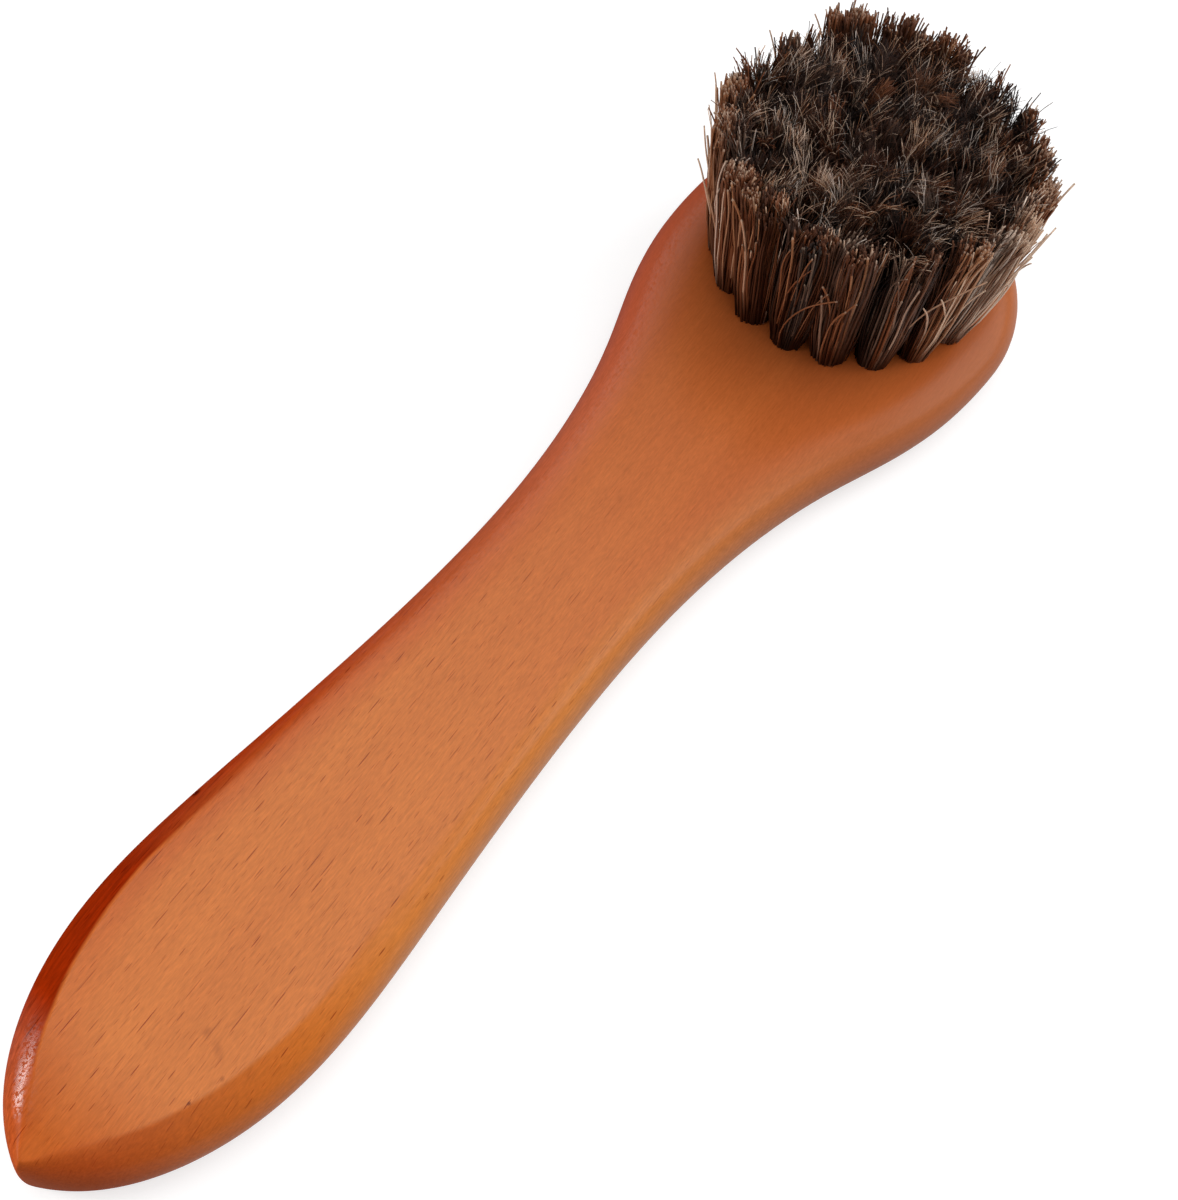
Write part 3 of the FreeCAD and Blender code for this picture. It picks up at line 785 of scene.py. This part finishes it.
def makeFloor(look):
    half = look["floorSize"] / 2
    mesh = bpy.data.meshes.new("floor")
    corners = [(-half, -half), (half, -half), (half, half), (-half, half)]
    mesh.from_pydata([(x, y, -look["floorDrop"]) for x, y in corners], [], [(0, 1, 2, 3)])
    floor = bpy.data.objects.new("floor", mesh)
    bpy.context.collection.objects.link(floor)
    material, tree = newMaterial("paleFloor")
    diffuse = addNode(tree, "BsdfDiffuse", {"Color": (*look["floorColour"], 1.0)})
    path = addNode(tree, "LightPath").outputs
    seen = path["Is Camera Ray"]
    for ray in ("Is Glossy Ray", "Is Transmission Ray"):
        seen = mathNode(tree, "MAXIMUM", seen, path[ray])
    place = addNode(tree, "TexCoord").outputs["Object"]
    far = ramp(tree, vectorNode(tree, "LENGTH", place)["Value"], *look["whiteReach"])
    level = timesPlus(tree, far, 1 - look["floorGlow"], look["floorGlow"])
    glow = addNode(tree, "Emission", {"Color": (*white, 1.0), "Strength": times(tree, seen, level)})
    both = addNode(tree, "AddShader", {0: diffuse.outputs[0], 1: glow.outputs[0]})
    finishMaterial(tree, both.outputs[0])
    mesh.materials.append(material)


# brighter overhead than round the sides, with one dim wall to the brush's left and a panel for gloss
def makeWorld(look):
    world = bpy.data.worlds.new("studio")
    bpy.context.scene.world = world
    world.use_nodes = True
    tree = world.node_tree
    tree.nodes.clear()
    way = addNode(tree, "TexCoord").outputs["Generated"]
    parts = addNode(tree, "SeparateXYZ", {"Vector": way}).outputs

    def towards(direction, spread):
        return ramp(tree, vectorNode(tree, "DOT_PRODUCT", way, direction)["Value"], *spread)

    colour = colourStops(tree, parts["Z"], [(place, (level,) * 3) for place, level in look["studio"]])
    wall = timesPlus(tree, towards(look["dimWall"], look["dimSpread"]), -look["dimShare"], 1.0)
    front = timesPlus(tree, ramp(tree, parts["X"], *look["frontSpread"]), -look["frontDim"], 1.0)
    panel = times(tree, towards(look["panel"], look["panelSpread"]), look["panelLevel"])
    path = addNode(tree, "LightPath").outputs
    level = timesPlus(tree, panel, path["Is Glossy Ray"], times(tree, wall, front))
    seen = path["Is Camera Ray"]
    colour = mixColours(tree, seen, colour, white)
    strength = mathNode(tree, "MAXIMUM", level, seen)
    background = addNode(tree, "Background", {"Color": colour, "Strength": strength})
    addNode(tree, "OutputWorld", {"Surface": background.outputs[0]})


lamps = {
    # place and aim in metres, size in metres, watts
    "overhead": {"place": (0.06, 0.06, 0.80), "aim": (0, 0, 0), "size": (0.8, 0.7), "power": 2.0},
    "rightSide": {"place": (0.50, -0.40, 0.38), "aim": (0.05, 0, 0.02), "size": (0.5, 0.5), "power": 2.0},
    "tipGlint": {"place": (-0.140, 0.105, 0.035), "aim": (-0.081, 0.008, 0.007), "size": (0.06, 0.04),
                 "power": 0.15},
}


# links a lamp or camera into the scene, with its right, up and back directions
def setUp(name, data, place, right, up, back):
    thing = bpy.data.objects.new(name, data)
    bpy.context.collection.objects.link(thing)
    axes = np.stack([right, up, back], 1)
    thing.matrix_world = Matrix.Translation(place) @ Matrix(axes.tolist()).to_4x4()
    return thing


def makeLamp(name, look):
    data = bpy.data.lights.new(name, "AREA")
    data.shape = "RECTANGLE"
    data.size, data.size_y = look["size"]
    data.energy = look["power"]
    place, aim = np.array(look["place"]), np.array(look["aim"])
    back = (place - aim) / np.linalg.norm(place - aim)
    side = np.cross((0.0, 1.0, 0.0), back)
    side /= np.linalg.norm(side)
    setUp(name, data, place, side, np.cross(back, side), back)


makeFloor(stageLook)
makeWorld(stageLook)
for name, look in lamps.items():
    makeLamp(name, look)
print("stage lit")


# the photograph's camera: turned about the brush, raised, rolled, then stepped back
cameraLook = {
    "turn": 62.75, "raise": 59.31, "roll": 10.91,   # degrees
    # mm, the brush's middle as the camera sees it
    "brushRight": -2.96, "brushDown": -1.97, "brushAhead": 203.1,
    "focalPixels": 1690.0, "framePixels": 1200.0,
    "sensor": 36.0, "nearest": 0.01,                # mm, metres
}


# the rows of a turn about the third axis
def spin(angle):
    return np.array([[np.cos(angle), -np.sin(angle), 0], [np.sin(angle), np.cos(angle), 0], [0, 0, 1]])


def makeCamera(look):
    turn, rise, roll = np.radians([look["turn"], look["raise"], look["roll"]])
    tilt = np.array([[1, 0, 0], [0, -np.sin(rise), -np.cos(rise)], [0, np.cos(rise), -np.sin(rise)]])
    right, down, ahead = spin(roll) @ tilt @ spin(turn)
    middle = np.array([0, 0, woodTop / 2])
    seen = np.array([look["brushRight"], look["brushDown"], look["brushAhead"]]) * mm
    place = middle - seen @ np.array([right, down, ahead])
    data = bpy.data.cameras.new("photoCamera")
    data.sensor_width = look["sensor"]
    data.lens = look["focalPixels"] / look["framePixels"] * data.sensor_width
    data.clip_start = look["nearest"]
    bpy.context.scene.camera = setUp("photoCamera", data, place, right, -down, -ahead)


makeCamera(cameraLook)
bpy.context.scene.view_settings.view_transform = "Standard"
print("camera set")
